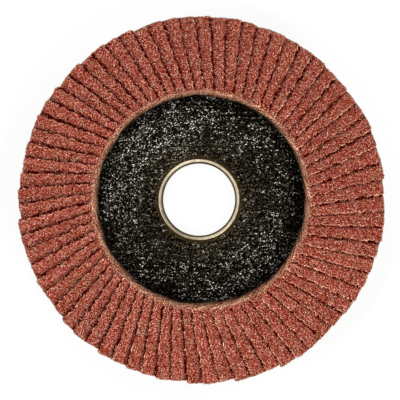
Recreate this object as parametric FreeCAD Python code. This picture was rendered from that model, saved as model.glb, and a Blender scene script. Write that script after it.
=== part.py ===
"""Flap disc for an angle grinder: a moulded backing plate with a metal arbor ring at its bore,
a bed of cured adhesive on the plate's cone, and coated abrasive flaps whose roots stand on that bed.

Millimetres. The origin is on the bore axis, on the hub's back seat. +Z points to the working side.
"""
import FreeCAD, Part
import os
from math import acos, cos, degrees, hypot, pi, radians, sin, sqrt, tan

from FreeCAD import Vector

# Arbor ring: a sheet-metal eyelet, its flange behind the hub and its lip crimped over in front
bore_diameter = 22.23
ring_sheet = 0.5
ring_flange_diameter = 28.0
ring_lip_diameter = 25.1
ring_bend = 0.4
lip_edge_drop = 0.2
lip_edge_width = 0.35
ring_clearance = 0.03

# Backing plate: a dished disc of pressed glass cloth and resin
hub_thickness = 3.0
hub_seat_radius = 20.4
recess_depth = 5.6
ridge_radius = 28.0
wall_thickness = 2.9
cone_slope = radians(11.0)
cone_thickness = 2.6
hub_corner_round = 2.0
ridge_round = 3.0
back_round = 2.5

# Adhesive bed on the plate's cone, set back from the flaps' inner ends and from the plate's edge
bed_inner_setback = 1.35
bed_edge_margin = 0.9
bed_thickness = 1.4

# Flaps: strips of coated cloth, each bent over the next one clockwise as seen from the front
# Their free corners stand out past the plate's edge by the overhang
flap_count = 72
flaps_in_node = 2
first_flap_angle = radians(88.9)
flap_thickness = 1.1
flap_inner_reach = 31.25
flap_corner_diameter = 113.6
flap_overhang = 3.3
flap_edge_height = 8.8
flap_edge_offset = 6.9
working_angle = radians(24.0)
working_leg = 8.5
root_angle = radians(33.0)

plate_radius = flap_corner_diameter / 2 - flap_overhang
bed_inner_radius = flap_inner_reach + bed_inner_setback
bed_outer_radius = plate_radius - bed_edge_margin
flap_pitch = 2 * pi / flap_count
ridge_height = hub_thickness + recess_depth
across_cone = Vector(sin(cone_slope), 0, cos(cone_slope))
along_cone = Vector(cos(cone_slope), 0, -sin(cone_slope))


def meet(point_a, way_a, point_b, way_b):
    """The point where two straight lines in the radius-height plane cross."""
    span = (point_b[0] - point_a[0], point_b[1] - point_a[1])
    cross = way_a[0] * way_b[1] - way_a[1] * way_b[0]
    along = (span[0] * way_b[1] - span[1] * way_b[0]) / cross
    return (point_a[0] + along * way_a[0], point_a[1] + along * way_a[1])


def below(point, way, depth):
    """A point moved square to a line by depth, to its lower side."""
    length = hypot(way[0], way[1])
    return (point[0] + depth * way[1] / length, point[1] - depth * way[0] / length)


def rounded_outline(corners):
    """A closed wire in the XZ plane. Each corner is (x, z, radius) and is rounded to its radius."""
    edges = []
    ends = []
    for index, (x, z, radius) in enumerate(corners):
        corner = Vector(x, 0, z)
        before = Vector(corners[index - 1][0], 0, corners[index - 1][1]) - corner
        after_corner = corners[(index + 1) % len(corners)]
        after = Vector(after_corner[0], 0, after_corner[1]) - corner
        if radius == 0:
            ends.append((corner, None, corner))
            continue
        to_before = Vector(before).normalize()
        to_after = Vector(after).normalize()
        half = acos(max(-1.0, min(1.0, to_before.dot(to_after)))) / 2
        setback = radius / tan(half)
        inward = (to_before + to_after).normalize()
        middle = corner + inward * (radius / sin(half) - radius)
        ends.append((corner + to_before * setback, middle, corner + to_after * setback))
    for index, (start, middle, end) in enumerate(ends):
        if middle is not None:
            edges.append(Part.Arc(start, middle, end).toShape())
        next_start = ends[(index + 1) % len(ends)][0]
        edges.append(Part.LineSegment(end, next_start).toShape())
    return Part.Wire(edges)


def turned(corners):
    """A rounded outline turned a full circle about the bore axis."""
    face = Part.Face(rounded_outline(corners))
    return face.revolve(Vector(0, 0, 0), Vector(0, 0, 1), 360)


def backing_plate():
    """The hub, its sloping wall, the ridge and the cone that carries the flaps, in one pressing."""
    sleeve_hole = bore_diameter / 2 + ring_sheet + ring_clearance
    flange_recess = ring_flange_diameter / 2 + ring_clearance
    hub_corner = (hub_seat_radius, hub_thickness)
    ridge = (ridge_radius, ridge_height)
    wall_way = (ridge[0] - hub_corner[0], ridge[1] - hub_corner[1])
    cone_way = (cos(cone_slope), -sin(cone_slope))
    wall_back = below(hub_corner, wall_way, wall_thickness)
    cone_back = below(ridge, cone_way, cone_thickness)
    hub_back = meet((0, 0), (1, 0), wall_back, wall_way)
    ridge_back = meet(wall_back, wall_way, cone_back, cone_way)
    rim_front = meet(ridge, cone_way, (plate_radius, 0), (0, 1))
    rim_back = meet(cone_back, cone_way, (plate_radius, 0), (0, 1))
    return turned([
        (sleeve_hole, ring_sheet, 0),
        (flange_recess, ring_sheet, 0),
        (flange_recess, 0, 0),
        (*hub_back, back_round),
        (*ridge_back, back_round),
        (*rim_back, 0),
        (*rim_front, 0),
        (*ridge, ridge_round),
        (*hub_corner, hub_corner_round),
        (sleeve_hole, hub_thickness, 0),
    ])


def arbor_ring():
    """Sleeve, back flange and crimped front lip of one sheet, with its bends chamfered at the bore."""
    inside = bore_diameter / 2
    outside = inside + ring_sheet
    flange_radius = ring_flange_diameter / 2
    lip_radius = ring_lip_diameter / 2
    lip_top = hub_thickness + ring_sheet
    return turned([
        (inside + ring_bend, 0, 0),
        (flange_radius, 0, 0),
        (flange_radius, ring_sheet, 0),
        (outside, ring_sheet, 0),
        (outside, hub_thickness, 0),
        (lip_radius, hub_thickness, 0),
        (lip_radius, lip_top - lip_edge_drop, 0),
        (lip_radius - lip_edge_width, lip_top, 0),
        (inside + ring_bend, lip_top, 0),
        (inside, lip_top - ring_bend, 0),
        (inside, ring_bend, 0),
    ])


def cone_point(radius, height):
    """The point of the radius-height plane that stands square over the plate's cone by height."""
    foot_height = ridge_height - (radius - ridge_radius) * tan(cone_slope)
    return (radius + height * sin(cone_slope), foot_height + height * cos(cone_slope))


def adhesive_bed():
    """A ring of cured adhesive of even thickness on the plate's cone."""
    return turned([
        (*cone_point(bed_inner_radius, 0), 0),
        (*cone_point(bed_outer_radius, 0), 0),
        (*cone_point(bed_outer_radius, bed_thickness), 0),
        (*cone_point(bed_inner_radius, bed_thickness), 0),
    ])


def root_height():
    """Height of the flap's level root face over the plate's cone, so that it rests on the bed.

    The bed is a cone and the root face is flat, so they meet where the bed falls away least:
    under the root's near side, at the bed's outer edge.
    """
    fold_side = working_leg * cos(working_angle) - flap_edge_offset
    fold_height = flap_edge_height - working_leg * sin(working_angle)
    near_side = (fold_side + (fold_height - bed_thickness) / tan(root_angle)
                 - flap_thickness / sin(root_angle))
    return bed_thickness - (hypot(bed_outer_radius, near_side) - bed_outer_radius) * sin(cone_slope)


def flap_section():
    """The flap's cut end at its inner reach: a working leg and a steeper root leg of one thickness.

    The section lies across the cone's slope. Sideways is +Y, height is square to the cone.
    """
    foot = cone_point(flap_inner_reach, 0)
    seat = Vector(foot[0], 0, foot[1])

    def down_leg(angle):
        return Vector(0, cos(angle), 0) - across_cone * sin(angle)

    def through_leg(angle):
        return Vector(0, -sin(angle), 0) - across_cone * cos(angle)

    fold_angle = (working_angle + root_angle) / 2
    fold_depth = flap_thickness / cos((root_angle - working_angle) / 2)
    fold_height = flap_edge_height - working_leg * sin(working_angle)
    root_leg = (fold_height - root_height()) / sin(root_angle)
    edge_top = seat + Vector(0, -flap_edge_offset, 0) + across_cone * flap_edge_height
    fold_top = edge_top + down_leg(working_angle) * working_leg
    root_top = fold_top + down_leg(root_angle) * root_leg
    root_under = root_top - Vector(0, flap_thickness / sin(root_angle), 0)
    fold_under = fold_top + through_leg(fold_angle) * fold_depth
    edge_under = edge_top + through_leg(working_angle) * flap_thickness
    return Part.Face(Part.makePolygon([edge_top, fold_top, root_top, root_under, fold_under, edge_under,
                                       edge_top]))


def flap_length():
    """From the inner reach down the cone, until the free corner lies on the disc's diameter."""
    corner_reach = sqrt((flap_corner_diameter / 2) ** 2 - flap_edge_offset ** 2)
    inner_corner = flap_inner_reach + flap_edge_height * sin(cone_slope)
    return (corner_reach - inner_corner) / cos(cone_slope)


def flaps():
    """Every flap, clockwise from the top of the disc."""
    flap = flap_section().extrude(along_cone * flap_length())
    placed = []
    for index in range(flap_count):
        copy = flap.copy()
        turn = degrees(first_flap_angle - index * flap_pitch)
        copy.rotate(Vector(0, 0, 0), Vector(0, 0, 1), turn)
        placed.append(copy)
    return placed


def main():
    os.makedirs("parts", exist_ok=True)
    all_flaps = flaps()
    backing_plate().exportStep("parts/backing_plate.step")
    arbor_ring().exportStep("parts/arbor_ring.step")
    adhesive_bed().exportStep("parts/adhesive_bed.step")
    for start in range(0, flap_count, flaps_in_node):
        number = start // flaps_in_node + 1
        group = Part.makeCompound(all_flaps[start:start + flaps_in_node])
        group.exportStep("parts/flap_pair_%02d.step" % number)


main()
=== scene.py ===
import math

import bpy
import numpy as np
from mathutils import Matrix, Vector


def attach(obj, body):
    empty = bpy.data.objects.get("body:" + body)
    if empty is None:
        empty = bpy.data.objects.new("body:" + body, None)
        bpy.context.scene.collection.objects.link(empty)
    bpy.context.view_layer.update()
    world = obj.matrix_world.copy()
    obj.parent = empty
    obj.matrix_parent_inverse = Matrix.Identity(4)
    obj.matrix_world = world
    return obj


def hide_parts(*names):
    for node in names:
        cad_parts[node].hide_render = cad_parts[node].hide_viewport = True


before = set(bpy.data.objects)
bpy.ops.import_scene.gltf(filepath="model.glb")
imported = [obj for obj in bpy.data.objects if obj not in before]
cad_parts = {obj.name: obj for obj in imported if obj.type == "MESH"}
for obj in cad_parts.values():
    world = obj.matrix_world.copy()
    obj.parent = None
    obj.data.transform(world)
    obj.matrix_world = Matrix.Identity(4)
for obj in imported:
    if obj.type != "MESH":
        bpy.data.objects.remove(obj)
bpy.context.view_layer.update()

mm = 0.001

# helpers for every piece

def hexColor(text):
    # sRGB hex to linear, channel by channel, by the sRGB curve
    channels = []
    for start in (1, 3, 5):
        c = int(text[start:start + 2], 16) / 255
        channels.append(c / 12.92 if c <= 0.04045 else ((c + 0.055) / 1.055) ** 2.4)
    return (*channels, 1.0)


def smoothstep(t):
    # three t squared less two t cubed, level at 0 and at 1
    return t * t * (3 - 2 * t)


def rise(value, start, stop):
    # 0 at start and 1 at stop, straight between and held beyond, either way round
    return np.clip((value - start) / (stop - start), 0, 1)


def latticeNoise(rng, x, y, cell, stretch=1.0):
    # random values on a square lattice, blended between the four nearest by smoothstep, -1 to 1
    gx, gy = x / cell, y / (cell * stretch)
    gx, gy = gx - gx.min(), gy - gy.min()
    values = rng.uniform(-1, 1, (int(gx.max()) + 2, int(gy.max()) + 2))
    ix, iy = gx.astype(int), gy.astype(int)
    fx, fy = smoothstep(gx - ix), smoothstep(gy - iy)
    low = values[ix, iy] * (1 - fx) + values[ix + 1, iy] * fx
    high = values[ix, iy + 1] * (1 - fx) + values[ix + 1, iy + 1] * fx
    return low * (1 - fy) + high * fy


def waves(rng, x, sizes):
    # the sum of noises that run along x, each given as (height, spacing)
    return sum(height * latticeNoise(rng, x, 0 * x, spacing) for height, spacing in sizes)


def gridQuads(rows, columns, closeRows=False, closeColumns=False):
    # quad k of a grid joins point (i, j) to its neighbours in both directions, last to first where closed
    i = np.arange(rows if closeRows else rows - 1)
    j = np.arange(columns if closeColumns else columns - 1)
    i, j = np.meshgrid(i, j, indexing="ij")
    i2, j2 = (i + 1) % rows, (j + 1) % columns
    corners = (i * columns + j, i * columns + j2, i2 * columns + j2, i2 * columns + j)
    return np.stack(corners, axis=-1).reshape(-1, 4)


def surfacePiece(name, points, quads, material, values=None, loops=(), smooth=True):
    # points in mm; quads is an array of four indices a row; values go to point attributes;
    # loops are extra polygons such as end caps
    mesh = bpy.data.meshes.new(name)
    points = (points.reshape(-1, 3) * mm).astype(np.float32)
    index = np.concatenate([quads.ravel(), *loops]).astype(np.int32)
    sizes = np.array([4] * len(quads) + [len(loop) for loop in loops], np.int32)
    starts = np.concatenate([[0], np.cumsum(sizes)[:-1]]).astype(np.int32)
    mesh.vertices.add(len(points))
    mesh.vertices.foreach_set("co", points.ravel())
    mesh.loops.add(len(index))
    mesh.loops.foreach_set("vertex_index", index)
    mesh.polygons.add(len(sizes))
    mesh.polygons.foreach_set("loop_start", starts)
    mesh.polygons.foreach_set("use_smooth", np.full(len(sizes), smooth))
    mesh.update(calc_edges=True)
    for key, array in (values or {}).items():
        layer = mesh.attributes.new(key, "FLOAT", "POINT")
        layer.data.foreach_set("value", array.astype(np.float32).ravel())
    mesh.materials.append(material)
    piece = bpy.data.objects.new(name, mesh)
    bpy.context.scene.collection.objects.link(piece)
    return piece


# helpers for materials

def pick(sockets, key):
    # a socket by number, or the one in use of that name
    if isinstance(key, int):
        return sockets[key]
    return [s for s in sockets if s.name == key and s.enabled][0]


def addNode(tree, kind, settings=None, links=None):
    # settings go to properties or else to input sockets; links give the output that feeds each input
    node = tree.nodes.new(kind)
    for key, value in (settings or {}).items():
        if isinstance(key, str) and hasattr(node, key):
            setattr(node, key, value)
        else:
            pick(node.inputs, key).default_value = value
    for key, socket in (links or {}).items():
        tree.links.new(socket, pick(node.inputs, key))
    return node


def newMaterial(name):
    material = bpy.data.materials.new(name)
    material.use_nodes = True
    material.node_tree.nodes.clear()
    return material, material.node_tree


def finishMaterial(tree, settings, links):
    shader = addNode(tree, "ShaderNodeBsdfPrincipled", settings, links)
    addNode(tree, "ShaderNodeOutputMaterial", links={"Surface": shader.outputs["BSDF"]})


def perMetre(size):
    # texture scale for a feature of that size in mm, on coordinates in metres
    return 1000.0 / size


def placeOf(tree):
    return addNode(tree, "ShaderNodeTexCoord").outputs["Object"]


def attributeOf(tree, name):
    return addNode(tree, "ShaderNodeAttribute", {"attribute_name": name}).outputs["Fac"]


def noiseOf(tree, place, size, detail=2.0, output="Fac"):
    # fractal noise with features of that size in mm
    settings = {"Scale": perMetre(size), "Detail": detail}
    return addNode(tree, "ShaderNodeTexNoise", settings, {"Vector": place}).outputs[output]


def calc(tree, operation, *terms, kind="ShaderNodeMath", output="Value"):
    # one step of arithmetic; each term is a number or the output that feeds it
    sockets = {k: term for k, term in enumerate(terms) if isinstance(term, bpy.types.NodeSocket)}
    numbers = {k: term for k, term in enumerate(terms) if k not in sockets}
    return addNode(tree, kind, {"operation": operation, **numbers}, sockets).outputs[output]


def vectorCalc(tree, operation, *terms, output="Vector"):
    # the same on vectors
    return calc(tree, operation, *terms, kind="ShaderNodeVectorMath", output=output)


def mapped(tree, value, start, stop, low=0.0, high=1.0):
    # low at start and high at stop, straight between and held beyond
    settings = {"From Min": start, "From Max": stop, "To Min": low, "To Max": high}
    return addNode(tree, "ShaderNodeMapRange", settings, {"Value": value}).outputs[0]


def blend(tree, share, first, second):
    # the first colour where the share is 0 and the second, an output or a hex colour, where it is 1
    settings, links = {"data_type": "RGBA"}, {"Factor": share, "A": first}
    if isinstance(second, str):
        settings["B"] = hexColor(second)
    else:
        links["B"] = second
    return pick(addNode(tree, "ShaderNodeMix", settings, links).outputs, "Result")


def rampOf(tree, factor, stops):
    # stops are (position, hex colour) pairs, blended straight between
    ramp = addNode(tree, "ShaderNodeValToRGB", links={"Fac": factor})
    elements = ramp.color_ramp.elements
    while len(elements) > 1:
        elements.remove(elements[-1])
    elements[0].position, elements[0].color = stops[0][0], hexColor(stops[0][1])
    for position, color in stops[1:]:
        elements.new(position).color = hexColor(color)
    return ramp.outputs["Color"]


def polarOf(tree, place, turn):
    # distance from the bore's axis in metres, and the cosine of the angle between the bearing and turn
    flat = vectorCalc(tree, "MULTIPLY", place, (1, 1, 0))
    bearing = vectorCalc(tree, "NORMALIZE", flat)
    facing = (math.cos(turn), math.sin(turn), 0)
    return (vectorCalc(tree, "LENGTH", flat, output="Value"),
            vectorCalc(tree, "DOT_PRODUCT", bearing, facing, output="Value"))


def threadPlace(tree, place, turn, longSize, wideSize):
    # coordinates turned to the cloth's threads and counted in cells of these sizes in mm
    scale = (perMetre(longSize), perMetre(wideSize), perMetre(wideSize))
    settings = {"Rotation": (0, 0, -turn), "Scale": scale}
    return addNode(tree, "ShaderNodeMapping", settings, {"Vector": place}).outputs[0]


def reliefOf(tree, height, strength, depth):
    # depth in mm
    settings = {"Strength": strength, "Distance": depth * mm}
    return addNode(tree, "ShaderNodeBump", settings, {"Height": height}).outputs["Normal"]


# the materials

clothLook = {
    "grain": 0.18,            # mm, between grits 80 and 100
    "grainColors": [(0.0, "#2a0000"), (0.2, "#500400"), (0.45, "#7c250b"),
                    (0.7, "#a24230"), (0.88, "#ca7f6b"), (1.0, "#fcd4c0")],
    "mottle": 2.6,            # mm, cloudy shifts from rose to ochre along a strip
    "mottleColors": [(0.34, "#fff0f0"), (0.5, "#fffaf8"), (0.66, "#f0fff0")],
    "mottleDetail": 3.0,
    "fibre": 0.3,             # mm, cut thread ends
    "fibreDetail": 4.0,
    "clothColors": [(0.4, "#64260c"), (0.5, "#b3744a"), (0.6, "#fcd8bc")],
    "coatShare": 0.42,        # share of the flap's thickness that is grit
    "coatSoft": 0.05,
    "coatRagged": 0.7,        # grains that cling to the cut cloth
    # painted shade, dark red, for the crevices between strips and the lower part of the cut edges
    "creviceShadeColor": "#460000",
    "bump": 0.4, "bumpDepth": 0.072,
    "roughness": 0.85,
    "specular": 0.05,
}


# Coated abrasive cloth: fused aluminium oxide grains in red-brown resin on a tan cotton-polyester twill.
# The eye gets a matt sandpaper red with dark pits and pale grain tips, tan fuzz where the cloth is cut, and
# painted shade, dark red, in the crevices between the strips and on their cut edges.
def makeAbrasiveCloth(look):
    material, tree = newMaterial("redAluminiumOxideCloth")
    place = placeOf(tree)
    depth, creviceShade, tone = [attributeOf(tree, name) for name in ("depth", "creviceShade", "tone")]
    grain = addNode(tree, "ShaderNodeTexVoronoi", {"Scale": perMetre(look["grain"])}, {"Vector": place})
    chance = addNode(tree, "ShaderNodeSeparateColor", links={"Color": grain.outputs["Color"]})
    grainColor = rampOf(tree, chance.outputs["Red"], look["grainColors"])
    mottle = rampOf(tree, noiseOf(tree, place, look["mottle"], look["mottleDetail"]), look["mottleColors"])
    grit = addNode(tree, "ShaderNodeMix", {"data_type": "RGBA", "blend_type": "MULTIPLY", "Factor": 1.0},
                   {"A": grainColor, "B": mottle})
    cloth = rampOf(tree, noiseOf(tree, place, look["fibre"], look["fibreDetail"]), look["clothColors"])
    # the line between coat and cloth wanders from grain to grain
    wander = calc(tree, "MULTIPLY_ADD", chance.outputs["Green"], look["coatRagged"], -look["coatRagged"] / 2)
    toCloth = mapped(tree, calc(tree, "ADD", depth, wander),
                     look["coatShare"] - look["coatSoft"], look["coatShare"] + look["coatSoft"])
    body = blend(tree, toCloth, pick(grit.outputs, "Result"), cloth)
    # painted shade: dark red laid over the crevices and the cut edges
    shaded = blend(tree, creviceShade, body, look["creviceShadeColor"])
    toned = addNode(tree, "ShaderNodeHueSaturation", links={"Value": tone, "Color": shaded})
    relief = reliefOf(tree, grain.outputs["Distance"], look["bump"], look["bumpDepth"])
    finishMaterial(tree, {"Roughness": look["roughness"], "Specular IOR Level": look["specular"]},
                   {"Base Color": toned.outputs["Color"], "Normal": relief})
    return material


# the plate's glass cloth, as its relief and its flecks both have it: mm between threads, turn from +X
weave = {"turn": math.radians(22), "warpPitch": 3.0, "weftPitch": 2.0}

laminateLook = {
    "sway": 9.0, "swayBy": 2.0,            # mm, how far apart and how far the threads bend aside
    "crossing": 0.4,                       # softness of the change from warp to weft
    "fleckLong": 0.3, "fleckWide": 0.18,   # mm, cells of the painted glints, drawn coarser than the real filaments so that they show
    # painted glints: the pale tops of these ramps stand in for light glinting off the glossy resin
    "glintFleckColors": [(0.46, "#000000"), (0.66, "#110d06"), (0.83, "#302a1f"),
                    (0.925, "#6b6454"), (0.968, "#d5d0c3"), (1.0, "#fffdf8")],
    "hubColors": [(0.42, "#000000"), (0.58, "#110d06"), (0.8, "#322b1f"),
                  (0.94, "#5b5344"), (1.0, "#b0ab9e")],
    "rowLong": 7.0, "rowWide": 0.9, "rowShare": 0.45,   # rows of flecks along a thread
    "patch": 5.0, "patchShare": 0.2,
    # painted glints on one side of the plate, as light would make them
    "glintTurn": math.radians(128), "glintShare": 0.045, "glintDrop": 0.0333, "glintSide": 0.0155,
    "hubReach": 21.0, "hubSoft": 2.5,
    # painted shade up by the flaps: mm from the axis, and how dark
    "flapShadeReach": 27.3, "flapShadeSoft": 3.0, "flapShadeShare": 0.47,
    "tintReach": 13.8, "tintSoft": 1.0, "tintShare": 0.7, "tintColor": "#3a2a13",
    "gloss": (0.2, 0.34),
    "bump": 0.5, "bumpDepth": 0.054,
    "specular": 0.015,
}


# Glass cloth laminate: pressed black phenolic resin over glass cloth, with painted glints as pale flecks
# along the threads.
# The eye gets a near-black plate with pale painted glints, duller on the hub, painted shade by the flaps,
# brown by the ring.
def makeResinLaminate(look):
    material, tree = newMaterial("blackPhenolicGlassLaminate")
    place = placeOf(tree)
    radius, along = polarOf(tree, place, look["glintTurn"])
    patch = noiseOf(tree, place, look["patch"])
    # weave coordinates: x counts weft threads, y counts warp threads, neither quite straight
    sway = noiseOf(tree, place, look["sway"], output="Color")
    swayed = vectorCalc(tree, "MULTIPLY_ADD", sway, (look["swayBy"] * mm,) * 3, place)
    cloth = threadPlace(tree, swayed, weave["turn"], weave["weftPitch"], weave["warpPitch"])
    threads = addNode(tree, "ShaderNodeSeparateXYZ", links={"Vector": cloth})
    swing = [calc(tree, "SINE", calc(tree, "MULTIPLY", threads.outputs[k], math.pi)) for k in (0, 1)]
    weftOnTop = mapped(tree, calc(tree, "MULTIPLY", *swing), 0.0, look["crossing"])
    # each thread shows as rows of small cells, a few with a painted glint and most dark resin
    glintFlecks = []
    for quarter in (0, 1):
        turn = weave["turn"] + quarter * math.pi / 2
        cellPlace = threadPlace(tree, place, turn, look["fleckLong"], look["fleckWide"])
        cells = addNode(tree, "ShaderNodeTexVoronoi", {"Scale": 1.0}, {"Vector": cellPlace})
        chance = addNode(tree, "ShaderNodeSeparateColor", links={"Color": cells.outputs["Color"]})
        rowPlace = threadPlace(tree, swayed, turn, look["rowLong"], look["rowWide"])
        row = addNode(tree, "ShaderNodeTexNoise", {"Scale": 1.0, "Detail": 1.0}, {"Vector": rowPlace})
        glintFlecks.append(calc(tree, "MULTIPLY_ADD", row.outputs["Fac"], look["rowShare"], chance.outputs["Red"]))
    glintFleck = addNode(tree, "ShaderNodeMix", {"data_type": "FLOAT"},
                    {"Factor": weftOnTop, "A": glintFlecks[0], "B": glintFlecks[1]}).outputs[0]
    middle = (look["patchShare"] + look["rowShare"]) / 2
    drift = calc(tree, "MULTIPLY_ADD", patch, look["patchShare"], -middle)
    # painted glints: more pale flecks along the bearing of glintTurn, somewhat more opposite it, fewest
    # across
    paintedGlint = calc(tree, "MULTIPLY_ADD", along, look["glintShare"], look["glintSide"])
    paintedGlint = calc(tree, "MULTIPLY_ADD", paintedGlint, along, -look["glintDrop"])
    level = calc(tree, "ADD", calc(tree, "ADD", glintFleck, drift), paintedGlint)
    # on the hub the painted glints are fewer and duller
    hub = mapped(tree, radius, look["hubReach"] * mm, (look["hubReach"] - look["hubSoft"]) * mm)
    shown = blend(tree, hub, rampOf(tree, level, look["glintFleckColors"]), rampOf(tree, level, look["hubColors"]))
    # in front, painted shade on the plate up by the flaps, where they shadow it; the back keeps its colour
    flapShade = mapped(tree, radius, look["flapShadeReach"] * mm, (look["flapShadeReach"] + look["flapShadeSoft"]) * mm,
                 1.0, look["flapShadeShare"])
    keep = calc(tree, "MAXIMUM", flapShade, attributeOf(tree, "behind"))
    color = addNode(tree, "ShaderNodeVectorMath", {"operation": "SCALE"}, {"Vector": shown, "Scale": keep})
    # a brown band next to the ring
    tint = mapped(tree, radius, look["tintReach"] * mm, (look["tintReach"] - look["tintSoft"]) * mm,
                  0.0, look["tintShare"])
    relief = reliefOf(tree, level, look["bump"], look["bumpDepth"])
    finishMaterial(tree, {"Specular IOR Level": look["specular"]},
                   {"Base Color": blend(tree, tint, color.outputs["Vector"], look["tintColor"]),
                    "Roughness": mapped(tree, patch, 0.0, 1.0, *look["gloss"]), "Normal": relief})
    return material


steelLook = {
    "cloud": 1.6, "cloudDetail": 4.0,      # mm, soft streaks in the plating
    "plateColors": [(0.3, "#d8c7a4"), (0.6, "#efe2c4"), (0.8, "#fbf4e2")],
    "bendEnd": 11.72, "bendSoft": 0.12,    # mm from the axis, where the painted shade on the bend at the bore ends
    # painted shade on the lip's rounded outer edge: mm from the axis, and how dark
    "lipEdge": (12.25, 12.48), "edgeShare": 0.65,
    "shadedSideTurn": math.radians(215), "shadedSideFrom": 0.2, "shadedSideShare": 0.5,   # painted shade on one side, at the lower left
    "paintedShadeColor": "#4e4028",
    "roughness": (0.34, 0.5),
    "bump": 0.3, "bumpDepth": 0.03,
}


# Mild steel sheet, zinc plated and yellow passivated, crimped in a press.
# The eye gets a pale straw-gold metal with soft streaks, and painted shade at the bore's bend, the lip's edge
# and the lower left.
def makePlatedSteel(look):
    material, tree = newMaterial("yellowPassivatedSteel")
    place = placeOf(tree)
    cloud = noiseOf(tree, place, look["cloud"], look["cloudDetail"])
    radius, along = polarOf(tree, place, look["shadedSideTurn"])
    bend = mapped(tree, radius, look["bendEnd"] * mm, (look["bendEnd"] - look["bendSoft"]) * mm)
    edge = mapped(tree, radius, look["lipEdge"][0] * mm, look["lipEdge"][1] * mm, 0.0, look["edgeShare"])
    shadedSide = mapped(tree, along, look["shadedSideFrom"], 1.0, 0.0, look["shadedSideShare"])
    paintedShade = calc(tree, "MAXIMUM", calc(tree, "MAXIMUM", bend, edge), shadedSide)
    color = blend(tree, paintedShade, rampOf(tree, cloud, look["plateColors"]), look["paintedShadeColor"])
    finishMaterial(tree, {"Metallic": 1.0},
                   {"Base Color": color, "Roughness": mapped(tree, cloud, 0.0, 1.0, *look["roughness"]),
                    "Normal": reliefOf(tree, cloud, look["bump"], look["bumpDepth"])})
    return material


epoxyLook = {
    "cloud": 2.2, "cloudDetail": 3.0,
    "colors": [(0.3, "#20140e"), (0.7, "#3b2618")],
    "roughness": 0.35,
    "bump": 0.4, "bumpDepth": 0.2,
}


# Cured epoxy between plate and flaps, uneven where it was squeezed out.
# The eye gets a dark amber band, half glossy, where it shows between the roots.
def makeEpoxy(look):
    material, tree = newMaterial("curedEpoxy")
    cloud = noiseOf(tree, placeOf(tree), look["cloud"], look["cloudDetail"])
    finishMaterial(tree, {"Roughness": look["roughness"]},
                   {"Base Color": rampOf(tree, cloud, look["colors"]),
                    "Normal": reliefOf(tree, cloud, look["bump"], look["bumpDepth"])})
    return material


abrasiveCloth = makeAbrasiveCloth(clothLook)
resinLaminate = makeResinLaminate(laminateLook)
platedSteel = makePlatedSteel(steelLook)
epoxy = makeEpoxy(epoxyLook)
print("materials ready")


# profiles of turned pieces

def roundedProfile(corners, step):
    # corners are (radius, height, round), then an own step where it differs: each round becomes an arc, and
    # the straight after each corner is cut to steps
    pts = np.array([c[:2] for c in corners], float)
    before, after = np.roll(pts, 1, axis=0), np.roll(pts, -1, axis=0)
    ends = []
    for p, a, b, corner in zip(pts, before, after, corners):
        r = corner[2]
        if r == 0:
            ends.append([p])
            continue
        ua, ub = (a - p) / np.linalg.norm(a - p), (b - p) / np.linalg.norm(b - p)
        half = math.acos(np.clip(ua @ ub, -1, 1)) / 2
        centre = p + (ua + ub) / np.linalg.norm(ua + ub) * r / math.sin(half)
        start, stop = p + ua * r / math.tan(half), p + ub * r / math.tan(half)
        # the arc blends the two end radii by the sines of their angles
        sweep = math.pi - 2 * half
        t = np.linspace(0, 1, max(3, int(r * sweep / min(step, r / 3)) + 1))[:, None]
        arc = np.sin((1 - t) * sweep) * (start - centre) + np.sin(t * sweep) * (stop - centre)
        ends.append(list(centre + arc / math.sin(sweep)))
    line = []
    for k, run in enumerate(ends):
        line.extend(run)
        gap = ends[(k + 1) % len(ends)][0] - run[-1]
        own = corners[k][3] if len(corners[k]) > 3 else step
        n = max(1, int(round(np.linalg.norm(gap) / own)))
        line.extend(run[-1] + gap * i / n for i in range(1, n))
    return np.array(line)


def turnedGrid(profile, columns):
    # the profile and its outward normals carried round the axis: x = r cos a, y = r sin a
    angle = np.linspace(0, 2 * np.pi, columns, endpoint=False)
    tangent = np.roll(profile, -1, axis=0) - np.roll(profile, 1, axis=0)
    tangent /= np.linalg.norm(tangent, axis=1)[:, None]
    normal = np.stack([tangent[:, 1], -tangent[:, 0]], axis=-1)

    def carried(line):
        r, z = line[:, 0][:, None], line[:, 1][:, None]
        return np.stack([r * np.cos(angle), r * np.sin(angle), z + 0 * angle], axis=-1)

    return carried(profile), carried(normal)


# the backing plate

plate = {
    "sleeveHole": 11.645, "flangeRecess": 14.03, "recessDepth": 0.5, "hubThickness": 3.0, "seatRadius": 20.4,
    "ridgeRadius": 28.0, "ridgeHeight": 8.6, "wall": 2.9, "slope": math.radians(11), "coneThickness": 2.6,
    "edge": 53.5, "cornerRound": 2.0, "ridgeRound": 3.0, "backRound": 2.5, "edgeRound": 0.25,
    # mm between rows: fine in front as far as the flaps cover it, coarser elsewhere
    "fineStep": 0.42, "coveredFrom": 34.0, "coveredStep": 2.2, "edgeStep": 0.6, "coneBackStep": 1.0,
    "backStep": 0.8, "ringStep": 2.0, "columns": 480,
    # relief in mm: the weave, lumps, specks and crumbs of resin
    "weaveDepth": 0.1, "weaveSink": 0.06, "weaveSway": 0.35, "weaveSwayCell": 7.0,
    "lump": 0.06, "lumpCell": 2.6, "speck": 0.05, "speckCell": 0.75, "crumb": 0.03,
    "flatTo": -0.9, "reliefFrom": 0.6, "edgeFade": 0.5, "backSink": 0.02, "seed": 11,
}


def shifted(point, way, depth):
    # a point moved square to a line by depth, to its lower side
    length = math.hypot(*way)
    return (point[0] + depth * way[1] / length, point[1] - depth * way[0] / length)


def crossing(a, wayA, b, wayB):
    # where two lines in the radius-height plane meet
    cross = wayA[0] * wayB[1] - wayA[1] * wayB[0]
    along = ((b[0] - a[0]) * wayB[1] - (b[1] - a[1]) * wayB[0]) / cross
    return (a[0] + along * wayA[0], a[1] + along * wayA[1])


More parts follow.
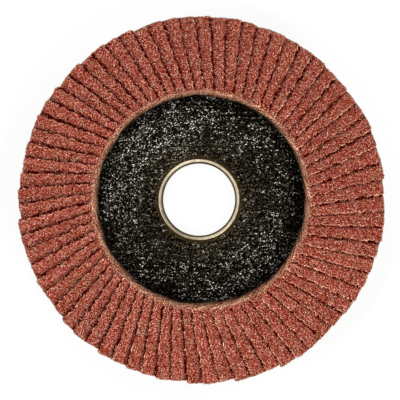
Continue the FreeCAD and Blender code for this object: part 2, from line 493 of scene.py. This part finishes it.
def weaveHeight(x, y, p, rng):
    # plain weave: each thread is a rounded rib that rises over one crossing and dips under the next
    c, s = math.cos(weave["turn"]), math.sin(weave["turn"])
    along, across = x * c + y * s, -x * s + y * c
    along = along + p["weaveSway"] * latticeNoise(rng, x, y, p["weaveSwayCell"])
    across = across + p["weaveSway"] * latticeNoise(rng, x, y, p["weaveSwayCell"])
    warp, weft = across / weave["warpPitch"], along / weave["weftPitch"]
    warpRib = np.sqrt(np.abs(np.cos(np.pi * (warp - np.round(warp)))))
    weftRib = np.sqrt(np.abs(np.cos(np.pi * (weft - np.round(weft)))))
    lift = np.cos(np.pi * (weft + np.round(warp)))
    drop = -np.cos(np.pi * (warp + np.round(weft)))
    return p["weaveDepth"] * np.maximum(warpRib * (1 + lift) / 2, weftRib * (1 + drop) / 2)


def makePlate(p):
    # the pressed plate's outline turned round the axis, and moved along its normals by the sum of the reliefs
    hub, ridge = (p["seatRadius"], p["hubThickness"]), (p["ridgeRadius"], p["ridgeHeight"])
    wallWay = (ridge[0] - hub[0], ridge[1] - hub[1])
    coneWay = (math.cos(p["slope"]), -math.sin(p["slope"]))
    wallBack, coneBack = shifted(hub, wallWay, p["wall"]), shifted(ridge, coneWay, p["coneThickness"])
    hubBack = crossing((0, 0), (1, 0), wallBack, wallWay)
    ridgeBack = crossing(wallBack, wallWay, coneBack, coneWay)
    edgeFront = crossing(ridge, coneWay, (p["edge"], 0), (0, 1))
    edgeBack = crossing(coneBack, coneWay, (p["edge"], 0), (0, 1))
    covered = crossing(ridge, coneWay, (p["coveredFrom"], 0), (0, 1))
    profile = roundedProfile([
        (p["sleeveHole"], p["recessDepth"], 0, p["ringStep"]),
        (p["flangeRecess"], p["recessDepth"], 0, p["ringStep"]),
        (p["flangeRecess"], 0, 0, p["backStep"]), (*hubBack, p["backRound"], p["backStep"]),
        (*ridgeBack, p["backRound"], p["coneBackStep"]), (*edgeBack, p["edgeRound"], p["edgeStep"]),
        (*edgeFront, p["edgeRound"], p["coveredStep"]), (*covered, 0), (*ridge, p["ridgeRound"]),
        (*hub, p["cornerRound"]), (p["sleeveHole"], p["hubThickness"], 0, p["ringStep"])], p["fineStep"])
    points, normals = turnedGrid(profile, p["columns"])
    x, y = points[..., 0], points[..., 1]
    rng = np.random.default_rng(p["seed"])
    radius = np.hypot(x, y)
    # the front starts at the edge's front corner, the highest of the rows that are farthest out
    edgeRow = int(np.argmax(profile[:, 0] * 10 + profile[:, 1]))
    front = np.broadcast_to((np.arange(len(profile)) >= edgeRow)[:, None], x.shape)
    # no relief where the ring's flange lies, nor at the edge
    fade = rise(radius, p["flangeRecess"] + p["flatTo"], p["flangeRecess"] + p["reliefFrom"])
    fade = fade * rise(radius, p["edge"], p["edge"] - p["edgeFade"])
    relief = weaveHeight(x, y, p, rng) - p["weaveSink"]
    for height, cell in ((p["lump"], p["lumpCell"]), (p["speck"], p["speckCell"])):
        relief += height * latticeNoise(rng, x, y, cell)
    relief += p["crumb"] * rng.uniform(-1, 1, x.shape) * front
    # behind, the relief only sinks in, so that the seat stays flat on the floor
    relief = np.where(front, relief, np.minimum(relief, 0) - p["backSink"])
    points = points + normals * (relief * fade)[..., None]
    quads = gridQuads(len(profile), p["columns"], True, True)
    return surfacePiece("backing_plate_laminate", points, quads, resinLaminate, {"behind": ~front})


backingPlate = makePlate(plate)
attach(backingPlate, "root")
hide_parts("backing_plate")
print("backing plate ready", len(backingPlate.data.polygons))


# the arbor ring

ring = {
    "bore": 11.115, "sheet": 0.5, "flange": 14.0, "lip": 12.55, "hubThickness": 3.0,
    "bend": 0.4, "edgeRound": 0.18, "lipRound": 0.288, "lipUnderRound": 0.05, "columns": 180, "step": 0.35,
    # the crimped lip's unevenness: mm deep, waves in a turn, and where it sets in
    "ripple": 0.035, "harmonics": (3, 5, 8, 13, 21), "evenOut": 2.5, "phases": 6.3,
    "rippleHeight": (0.1, 0.4), "rippleReach": 0.6, "seed": 5,
}


def makeRing(p):
    # one sheet: flange behind, sleeve through the hub and a lip crimped over in front, dented by summed sines
    outside, top = p["bore"] + p["sheet"], p["hubThickness"] + p["sheet"]
    profile = roundedProfile([
        (p["bore"], 0, p["bend"]), (p["flange"], 0, p["edgeRound"]),
        (p["flange"], p["sheet"], p["edgeRound"]), (outside, p["sheet"], 0),
        (outside, p["hubThickness"], 0), (p["lip"], p["hubThickness"], p["lipUnderRound"]),
        (p["lip"], top, p["lipRound"]), (p["bore"], top, p["bend"])], p["step"])
    points, normals = turnedGrid(profile, p["columns"])
    rng = np.random.default_rng(p["seed"])
    angle, radius = np.arctan2(points[..., 1], points[..., 0]), np.hypot(points[..., 0], points[..., 1])
    wave = sum(rng.uniform(-1, 1) * np.sin(k * angle + rng.uniform(0, p["phases"])) for k in p["harmonics"])
    low, high = p["rippleHeight"]
    onLip = rise(points[..., 2] - p["hubThickness"], low, high) * rise(radius - outside, 0, p["rippleReach"])
    points = points + normals * (p["ripple"] * (wave / p["evenOut"] - 1) * onLip)[..., None]
    quads = gridQuads(len(profile), p["columns"], True, True)
    return surfacePiece("arbor_ring_steel", points, quads, platedSteel)


arborRing = makeRing(ring)
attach(arborRing, "root")
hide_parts("arbor_ring")
print("arbor ring ready", len(arborRing.data.polygons))


# the adhesive bed

bed = {
    "inner": 32.6, "outer": 52.6, "thickness": 1.4, "innerRound": 0.5, "outerRound": 0.3, "columns": 240,
    "step": 1.2, "lump": 0.18, "lumpCell": 2.0, "lumpFade": 0.5, "seed": 21,
}


def coneHeight(radius):
    # the height of the plate's cone at that radius
    return plate["ridgeHeight"] - (radius - plate["ridgeRadius"]) * math.tan(plate["slope"])


def conePoint(radius, height):
    # the point square over the plate's cone by height
    slope = plate["slope"]
    return (radius + height * math.sin(slope), coneHeight(radius) + height * math.cos(slope))


def makeBed(p):
    # a flat ring on the cone, turned round the axis, that sinks in by lumps where it isn't on the plate
    profile = roundedProfile([
        (*conePoint(p["inner"], 0), 0), (*conePoint(p["outer"], 0), 0),
        (*conePoint(p["outer"], p["thickness"]), p["outerRound"]),
        (*conePoint(p["inner"], p["thickness"]), p["innerRound"])], p["step"])
    points, normals = turnedGrid(profile, p["columns"])
    rng = np.random.default_rng(p["seed"])
    x, y, z = points[..., 0], points[..., 1], points[..., 2]
    above = rise(z - coneHeight(np.hypot(x, y)), 0, p["lumpFade"])
    lump = p["lump"] * (latticeNoise(rng, x, y, p["lumpCell"]) - 1) / 2
    points = points + normals * (lump * above)[..., None]
    quads = gridQuads(len(profile), p["columns"], True, True)
    return surfacePiece("adhesive_bed_epoxy", points, quads, epoxy)


adhesiveBed = makeBed(bed)
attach(adhesiveBed, "root")
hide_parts("adhesive_bed")
print("adhesive bed ready", len(adhesiveBed.data.polygons))


# the flaps

flap = {
    "count": 72, "inNode": 2, "firstAngle": math.radians(88.9), "innerReach": 31.25, "length": 23.44,
    # the section: a working leg, a fold and a root leg
    "edgeHeight": 8.8, "edgeOffset": 6.9, "workingAngle": math.radians(24), "workingLeg": 8.5,
    "rootAngle": math.radians(33), "leg": 15.85, "foldSpan": 5.0, "pathSteps": 400, "thickness": 1.03,
    # rows round the section: mm from the free edge on top and below, and shares of the depth on the cut edge
    "fineTo": 5.6, "fineStep": 0.215, "topRows": (6.3, 7.6, 9.0, 10.6, 13.0),
    "underRows": (12.0, 9.6, 7.6, 5.2, 2.6, 0.8, 0.0), "cutRows": (0.78, 0.5, 0.22), "columns": 112,
    # relief in mm: grit and its grains, dimples, and the cloth's fuzz below
    "grit": 0.045, "grain": 0.03, "grainCell": 0.42, "dimple": 0.028, "dimpleCell": 1.5, "dimpleStretch": 1.3,
    "gritRise": 0.05, "fuzz": 0.05,
    # the free edge's raggedness: (mm deep, mm between turns), and how far it reaches on to the strip
    "edgeWaves": [(0.1, 5.0), (0.26, 0.8), (0.24, 0.42)], "edgeGrain": 0.04, "edgeSpan": 1.4,
    # the swelling of the under side: where it ends along the strip and across it
    "squeeze": 0.2, "mostSwell": 0.7,
    "swellAlong": (4.5, 2.0), "swellFrom": (0.2, 1.0), "swellTo": (15.2, 13.7),
    # the ends: skew across the strip, raggedness, a roll and the free corner's round
    "innerTrim": -0.15, "innerSkew": 0.2, "skewTurn": 3.0, "skewBack": 1.2, "innerFade": 6,
    "outerSkew": 0.09, "outerSkewTo": 6.0, "endRag": 0.2, "endRoll": 0.3, "endRollSpan": 0.5,
    "cornerRound": 0.45, "cornerAcross": 0.9, "cornerAlong": 1.8,
    # the lay-up's unevenness, and the whole pack's shift in mm
    "lengthJitter": 0.37, "angleJitter": math.radians(0.16), "reachJitter": 0.14, "heightJitter": 0.045,
    "tiltJitter": math.radians(0.22), "liftFrom": (2.0, 6.0), "toneJitter": 0.05,
    "innerShift": (0.82, 0.0), "outerShift": (0.898, -0.066),
    # painted shade in the crevice under the next strip's edge: mm, and where it fades at the ends
    "creviceStart": 0.42, "creviceWidth": 0.365, "biteWaves": [(0.8, 0.9), (0.7, 0.4)], "creviceSoft": 0.12,
    "creviceInner": (0.2, 1.0), "creviceOuter": (0.4, 1.2),
    # bare cloth and painted highlight on the cut edge: most on the strips that face the lit side, with the
    # cut edge's painted shade held over it but for breaks
    "litTurn": math.radians(-25), "bareAndLitShare": 0.16, "litSwing": 0.55, "bareWaves": [(0.9, 1.6)],
    "shadeHeldShare": 1.9, "shadeHeldWaves": [(1.6, 0.6)], "cutShadeStart": 0.1, "cutShadeLit": 0.3, "cutShadeSoft": 1 / 7,
    # depth in the coat, 0, or the cloth, 1, as the edges and ends show it
    "coatedEdge": 0.1, "bareAndLitEdge": 2.2, "endDepth": 0.6, "endCoat": 0.25, "outerDepth": (0.4, 0.15),
    "wornWaves": [(2.4, 0.5)], "wornMost": 0.8,
    # brightness: painted shade on the feet of the inner ends, darker outer ends, and a painted highlight on
    # the free edge
    "footShade": 0.98, "footSpan": (4.9, 7.3), "outerFrom": 0.3, "outerTone": 0.85,
    "edgeTone": 1.2, "bareAndLitTone": 0.75, "seed": 300,
}


def layUp(p):
    # each strip is laid a little off in turn, reach, height and tilt; the whole ring is a little off centre
    rng = np.random.default_rng(p["seed"])
    turn = p["firstAngle"] - np.arange(p["count"]) * 2 * math.pi / p["count"]
    jitter = rng.uniform(-1, 1, (6, p["count"]))
    inner, outer = [x * np.cos(turn) + y * np.sin(turn) for x, y in (p["innerShift"], p["outerShift"])]
    return {
        "reach": jitter[0] * p["reachJitter"] + inner,
        "stretch": (outer - inner + p["lengthJitter"] * jitter[5]) / p["length"],
        "lift": jitter[1] * p["heightJitter"], "lean": np.tan(jitter[2] * p["tiltJitter"]),
        "turn": turn + jitter[3] * p["angleJitter"], "tone": 1 + jitter[4] * p["toneJitter"],
    }


def legPath(t, p):
    # the section's top line, walked from the free edge: it turns from the working angle to the root angle by
    # smoothstep, and side and height are running sums of its cosine and sine
    s = np.linspace(0, p["leg"], p["pathSteps"])
    mix = np.clip((s - p["workingLeg"]) / p["foldSpan"] + 0.5, 0, 1)
    angle = p["workingAngle"] + (p["rootAngle"] - p["workingAngle"]) * smoothstep(mix)
    ds = s[1] - s[0]
    side = -p["edgeOffset"] + np.concatenate([[0], np.cumsum(np.cos(angle[:-1]) * ds)])
    height = p["edgeHeight"] - np.concatenate([[0], np.cumsum(np.sin(angle[:-1]) * ds)])
    beyond = np.minimum(t, 0)   # ragged stretches of the edge reach past it in a straight line
    side = np.interp(t, s, side) + beyond * math.cos(p["workingAngle"])
    height = np.interp(t, s, height) - beyond * math.sin(p["workingAngle"])
    return side, height, np.interp(t, s, angle)


def flapPoint(lay, number, t, u, through, p):
    # t along the section from the free edge, u down the cone, through square to the leg, all in mm
    side, height, angle = legPath(t, p)
    side = side - np.sin(angle) * through
    height = height - np.cos(angle) * through
    # the roots stay on the bed, and only what is above them is lifted and tilted
    above = rise(height, *p["liftFrom"])
    height = height + above * (lay["lift"][number] + (u - p["length"] / 2) * lay["lean"][number])
    slope, turn, reach = plate["slope"], lay["turn"][number], lay["reach"][number]
    foot, u = conePoint(p["innerReach"], 0), u * (1 + lay["stretch"][number])
    x = foot[0] + reach + u * math.cos(slope) + height * math.sin(slope)
    z = foot[1] - reach * math.tan(slope) - u * math.sin(slope) + height * math.cos(slope)
    c, s = np.cos(turn), np.sin(turn)
    return np.stack([x * c - side * s, x * s + side * c, z], axis=-1), x, side


def flapRows(p):
    # (distance from the edge, depth share) once round the section, clockwise
    top = np.concatenate([np.arange(0, p["fineTo"], p["fineStep"]), p["topRows"], [p["leg"]]])
    under = np.array([p["leg"] - p["thickness"] / math.tan(p["rootAngle"]), *p["underRows"]])
    t = np.concatenate([top, under, np.zeros(len(p["cutRows"]))])
    return t, np.concatenate([np.zeros(len(top)), np.ones(len(under)), p["cutRows"]])


def innerFollow(t, p):
    # how far the inner end runs out: it grows with t up to the turn, then falls back
    turn = p["skewTurn"]
    return p["innerSkew"] * np.where(t < turn, t, np.clip(turn - (t - turn) * p["skewBack"], 0, turn))


def flapShape(number, lay, p, rng, t, u, depth):
    # the section walked by t, its thickness by depth and the strip's length by u, each shifted by noise
    onTop, under = depth < 0.01, depth > 0.9
    fromEnd, share = p["length"] - u, u / p["length"]
    ragged = waves(rng, u, p["edgeWaves"]) + p["edgeGrain"] * rng.uniform(-1, 1, t.shape)
    path = t + rise(t, p["edgeSpan"], 0) * ragged
    grit = p["grit"] * rng.uniform(-1, 1, t.shape)
    grit += p["grain"] * latticeNoise(rng, u, t, p["grainCell"])
    grit += p["dimple"] * latticeNoise(rng, u, t, p["dimpleCell"], p["dimpleStretch"])
    fuzz = p["fuzz"] * rng.uniform(-1, 1, t.shape)
    through = depth * p["thickness"] - np.where(onTop, grit - p["gritRise"], fuzz * under)
    # by the inner ends the strips are packed tight: each one's under side swells to meet the next
    height, angle = legPath(t, p)[1:]
    reach = p["innerReach"] + u + height * math.sin(plate["slope"])
    spacing = 2 * math.pi / p["count"] * reach * np.sin(angle)
    packed = rise(u, *p["swellAlong"]) * rise(t, *p["swellFrom"]) * rise(t, *p["swellTo"])
    through = through + np.clip(spacing - p["thickness"] + p["squeeze"], 0, p["mostSwell"]) * packed * under
    # the ends roll over a little, and the free corner is rounded
    through = through + onTop * p["endRoll"] * rise(np.minimum(fromEnd, u), p["endRollSpan"], 0) ** 2
    frayed = rng.uniform(-p["endRag"], p["endRag"], t.shape) * ((u == 0) | (u == p["length"]))
    innerMove = (1 - share) ** p["innerFade"] * (innerFollow(t, p) + p["innerTrim"])
    outerMove = share * p["outerSkew"] * np.minimum(t, p["outerSkewTo"])
    corner = p["cornerRound"] * rise(t, p["cornerAcross"], 0) ** 2 * rise(fromEnd, p["cornerAlong"], 0) ** 2
    return flapPoint(lay, number, path, u + frayed + innerMove + outerMove - corner, through, p)


def flapLook(number, lay, p, rng, t, u, depth, pitch):
    # for each point: how much painted shade lies on it, how deep it is in coat or cloth, and its brightness
    onTop, fromEnd = depth < 0.01, p["length"] - u
    cut, inner, outer = (t == 0) & ~onTop, u == 0, u == p["length"]
    # the crevice's painted shade starts a little before the next strip's edge, by a width that noise bites
    # into
    start = pitch - p["creviceStart"] - p["creviceWidth"] * (1 + waves(rng, u, p["biteWaves"]))
    creviceShade = rise(t, start, start + p["creviceSoft"]) * onTop
    creviceShade *= np.where(t > pitch, rise(fromEnd, *p["creviceOuter"]), 1)
    # painted shade on the lower part of the cut edge, starting deeper on the lit side and broken in stretches
    # by noise
    # painted highlight: strips that face litTurn show more pale cloth on the cut edge, as if lit there; the
    # waves add real bare patches
    facing = math.cos(lay["turn"][number] - p["litTurn"])
    bareAndLit = np.clip(p["bareAndLitShare"] + p["litSwing"] * facing + waves(rng, u, p["bareWaves"]), 0, 1)
    shadeHeld = np.clip(p["shadeHeldShare"] + waves(rng, u, p["shadeHeldWaves"]), 0, 1)
    cutShadeDepth = p["cutShadeStart"] + p["cutShadeLit"] * bareAndLit
    creviceShade = np.where(cut, rise(depth, cutShadeDepth, cutShadeDepth + p["cutShadeSoft"]) * shadeHeld, creviceShade)
    creviceShade = np.where(inner | outer, 0, creviceShade * rise(u, *p["creviceInner"]))
    # grains cling to the cut edge except where it is bare and lit, both ends show cloth, and the top's first
    # row is worn, more on the lit side as painted highlight
    depth = np.where(cut, depth * (p["coatedEdge"] + p["bareAndLitEdge"] * bareAndLit), depth)
    innerDepth = p["endDepth"] - p["endCoat"] * rise(t, p["edgeSpan"], 0)
    depth = np.maximum(depth, np.where(inner, innerDepth, p["endDepth"] * rise(fromEnd, *p["outerDepth"])))
    wearAndHighlight = np.clip(waves(rng, u, p["wornWaves"]) - p["wornMost"] * (1 - bareAndLit), 0, p["wornMost"])
    depth = np.maximum(depth, wearAndHighlight * (t == 0) * onTop)
    # painted shade on the feet of the inner ends, low in the recess by the plate
    tone = lay["tone"][number] * np.where(inner, 1 - p["footShade"] * rise(t, *p["footSpan"]), 1)
    tone = tone * np.where(fromEnd < p["outerFrom"], p["outerTone"], 1)
    # painted highlight along the free edge, brightest on the lit side
    tone = tone * np.where(t == 0, p["edgeTone"] + p["bareAndLitTone"] * bareAndLit, 1)
    return {"depth": depth, "creviceShade": creviceShade, "tone": tone}


def makeFlap(number, lay, p, rng):
    # a grid of rows round the section and columns along the strip, closed by a cap at either end
    t, depth = flapRows(p)
    t, u = np.meshgrid(t, np.linspace(0, p["length"], p["columns"]), indexing="ij")
    depth = np.broadcast_to(depth[:, None], t.shape)
    points, x, side = flapShape(number, lay, p, rng, t, u, depth)
    # how far down each strip the next one's edge lies
    pitch = np.hypot(x, side) * math.tan(2 * math.pi / p["count"]) / math.cos(p["workingAngle"])
    values = flapLook(number, lay, p, rng, t, u, depth, pitch)
    rows, columns = t.shape
    firstEnd = np.arange(rows) * columns
    caps = [firstEnd, (firstEnd + columns - 1)[::-1]]
    quads = gridQuads(rows, columns, True, False)
    return surfacePiece("flap_%02d" % (number + 1), points, quads, abrasiveCloth, values, caps, False)


lay = layUp(flap)
flapRandom = np.random.default_rng(flap["seed"] + 1)
for number in range(flap["count"]):
    strip = makeFlap(number, lay, flap, flapRandom)
    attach(strip, "root")
    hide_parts("flap_pair_%02d" % (number // flap["inNode"] + 1))
print("flaps ready", flap["count"], len(strip.data.polygons))


# loose threads where the cloth is cut

fray = {
    "innerEach": 34, "edgeEach": 22, "outerEach": 10,
    "innerSpan": 6.5, "outerSpan": 6, "innerFrom": 0.5, "outerBack": 0.05, "depths": (0.15, 0.95),
    "length": (0.25, 0.8), "outerShare": 0.6,
    "radius": 0.07, "radiusShares": (0.6, 1.2),   # mm, drawn as thick as yarn, not as single fibres, to show
    "across": 0.7, "along": 0.8, "up": (-0.5, 0.35), "curl": 0.35, "straight": 0.8,
    "rings": (0.0, 0.4, 0.8), "taper": (1.0, 0.9, 0.7), "sideHint": (0.3, 0.2, 1.0),
    "tones": (1.0, 1.3, 0.75),   # brightness of the threads inside, along the free edge and outside
    "seed": 77,
}


def makeFray(lay, p, f):
    # each thread is a three-sided tube of three rings and a tip, bent by a random curl times distance squared
    rng = np.random.default_rng(f["seed"])
    counts = [f["innerEach"], f["edgeEach"], f["outerEach"]]
    number = np.concatenate([np.repeat(np.arange(p["count"]), n) for n in counts])
    kind = np.concatenate([np.full(p["count"] * n, k) for k, n in enumerate(counts)])
    inner, edge, outer, n = kind == 0, kind == 1, kind == 2, len(number)
    t = np.where(inner, rng.uniform(0, f["innerSpan"], n),
                 np.where(edge, 0, rng.uniform(0, f["outerSpan"], n)))
    u = np.where(inner, f["innerFrom"] + innerFollow(t, p),
                 np.where(edge, rng.uniform(f["innerFrom"], p["length"], n),
                          p["length"] - f["outerBack"] + p["outerSkew"] * t))
    depth = rng.uniform(*f["depths"], n) * p["thickness"]
    length = rng.uniform(*f["length"], n) * np.where(outer, f["outerShare"], 1.0)
    heading = np.stack([np.where(edge, -1, rng.uniform(-f["across"], f["across"], n)),
                        np.where(inner, -1, np.where(outer, 1, rng.uniform(-f["along"], f["along"], n))),
                        rng.uniform(*f["up"], n)], axis=-1)
    curl = rng.uniform(-f["curl"], f["curl"], (n, 3))
    centre = []
    for step in (*f["rings"], 1.0):
        d = (length * step)[:, None]
        move = heading * d * f["straight"] + curl * d * d
        centre.append(flapPoint(lay, number, t + move[:, 0], u + move[:, 1], depth - move[:, 2], p)[0])
    centre = np.stack(centre, axis=1)
    way = centre[:, -1] - centre[:, 0]
    way /= np.linalg.norm(way, axis=1)[:, None]
    across = np.cross(way, f["sideHint"])
    across /= np.linalg.norm(across, axis=1)[:, None]
    other = np.cross(way, across)
    radius = f["radius"] * rng.uniform(*f["radiusShares"], n)[:, None, None]
    corners = (np.arange(3) * 2 * math.pi / 3)[None, :, None]
    circle = (across[:, None, :] * np.cos(corners) + other[:, None, :] * np.sin(corners)) * radius
    rings = centre[:, :3, None, :] + circle[:, None, :, :] * np.array(f["taper"])[None, :, None, None]
    points = np.concatenate([rings.reshape(n, 9, 3), centre[:, 3:4]], axis=1)
    # nine ring points and the tip for each thread, the first ring closed by a triangle
    first = (np.arange(n) * 10)[:, None, None]
    pattern = [(i * 3 + j, i * 3 + (j + 1) % 3, i * 3 + 3 + (j + 1) % 3, i * 3 + 3 + j)
               for i in range(2) for j in range(3)]
    quads = (np.array(pattern)[None] + first).reshape(-1, 4)
    triangles = (np.array([(6, 7, 9), (7, 8, 9), (8, 6, 9), (2, 1, 0)])[None] + first).reshape(-1, 3)
    tone = np.repeat(np.array(f["tones"])[kind], 10)
    values = {"depth": np.ones(n * 10), "creviceShade": np.zeros(n * 10), "tone": tone}
    return surfacePiece("frayed_threads", points, quads, abrasiveCloth, values, triangles)


threads = makeFray(lay, flap, fray)
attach(threads, "root")
print("threads ready", len(threads.data.polygons))


# floor, light and camera

stage = {
    "floorSize": 12.0, "floorDrop": 0.02, "floorColor": "#f4f4f2", "floorGlow": 0.9,
    "worldColor": "#ffffff", "worldLevel": 0.12, "lampSize": 0.32, "lampDistance": 1.0,
    # softboxes round the object: turn from +X and elevation in degrees, power in watts
    "lamps": [(-55, 42, 6.0), (20, 50, 3.0), (110, 52, 3.8), (195, 50, 4.6)],
}


def makeFloor(p):
    # diffuse paper for light and shadow, mixed with a white glow for rays that come straight from the camera,
    # from a gloss or through glass
    material, tree = newMaterial("palePaperSweep")
    rays = addNode(tree, "ShaderNodeLightPath")
    seen = calc(tree, "MAXIMUM", rays.outputs["Is Camera Ray"], rays.outputs["Is Glossy Ray"])
    seen = calc(tree, "MAXIMUM", seen, rays.outputs["Is Transmission Ray"])
    share = calc(tree, "MULTIPLY", seen, p["floorGlow"])
    paper = addNode(tree, "ShaderNodeBsdfDiffuse", {"Color": hexColor(p["floorColor"])}).outputs[0]
    glow = addNode(tree, "ShaderNodeEmission", {"Color": (1, 1, 1, 1), "Strength": 1.0}).outputs[0]
    both = addNode(tree, "ShaderNodeMixShader", links={0: share, 1: paper, 2: glow}).outputs[0]
    # from below the floor is clear, so that the plate's back can be looked at and gets some light
    behind = addNode(tree, "ShaderNodeNewGeometry").outputs["Backfacing"]
    below = calc(tree, "MAXIMUM", behind, rays.outputs["Is Shadow Ray"])
    clear = addNode(tree, "ShaderNodeBsdfTransparent").outputs[0]
    oneWay = addNode(tree, "ShaderNodeMixShader", links={0: below, 1: both, 2: clear}).outputs[0]
    addNode(tree, "ShaderNodeOutputMaterial", links={"Surface": oneWay})
    half, drop = p["floorSize"] / 2, -p["floorDrop"] * mm
    mesh = bpy.data.meshes.new("floor")
    corners = [(-half, -half, drop), (half, -half, drop), (half, half, drop), (-half, half, drop)]
    mesh.from_pydata(corners, [], [(0, 1, 2, 3)])
    mesh.materials.append(material)
    floor = bpy.data.objects.new("floor", mesh)
    bpy.context.scene.collection.objects.link(floor)


def makeLight(p):
    # a dim white room, and softboxes that all face the object
    world = bpy.data.worlds.new("softRoom")
    bpy.context.scene.world = world
    world.use_nodes = True
    tree = world.node_tree
    tree.nodes.clear()
    sky = addNode(tree, "ShaderNodeBackground",
                  {"Color": hexColor(p["worldColor"]), "Strength": p["worldLevel"]})
    addNode(tree, "ShaderNodeOutputWorld", links={"Surface": sky.outputs[0]})
    for turn, elevation, power in p["lamps"]:
        lamp = bpy.data.lights.new("softbox", "AREA")
        lamp.shape, lamp.size, lamp.energy = "SQUARE", p["lampSize"], power
        box = bpy.data.objects.new("softbox", lamp)
        e, a = math.radians(elevation), math.radians(turn)
        way = Vector((math.cos(e) * math.cos(a), math.cos(e) * math.sin(a), math.sin(e)))
        box.location = way * p["lampDistance"]
        box.rotation_euler = way.to_track_quat("Z", "Y").to_euler()
        bpy.context.scene.collection.objects.link(box)


lens = {
    "pictureWidth": 400, "boreInPicture": (199.01, 199.65), "pixelsPerMm": 3.243, "distance": 1.2,
    "sensor": 36.0, "targetHeight": 3.3, "leanToRight": math.radians(1.2), "clip": (0.05, 10),
}


def makeCamera(p):
    # overhead, a degree off plumb, aimed so that the bore's centre falls on its place in the picture
    data = bpy.data.cameras.new("overhead")
    camera = bpy.data.objects.new("overhead", data)
    bpy.context.scene.collection.objects.link(camera)
    middle = p["pictureWidth"] / 2
    aim = Vector(((middle - p["boreInPicture"][0]) / p["pixelsPerMm"] * mm,
                  (p["boreInPicture"][1] - middle) / p["pixelsPerMm"] * mm, p["targetHeight"] * mm))
    back = Vector((math.sin(p["leanToRight"]), 0, math.cos(p["leanToRight"])))
    camera.location = aim + back * p["distance"]
    right = Vector((0, 1, 0)).cross(back).normalized()
    camera.rotation_euler = Matrix((right, back.cross(right), back)).transposed().to_euler()
    data.sensor_width = p["sensor"]
    frameWidth = p["pictureWidth"] / p["pixelsPerMm"] * mm
    data.lens = p["sensor"] * p["distance"] / frameWidth
    data.clip_start, data.clip_end = p["clip"]
    bpy.context.scene.camera = camera


makeFloor(stage)
makeLight(stage)
makeCamera(lens)
bpy.context.scene.view_settings.view_transform = "Standard"
print("stage ready")
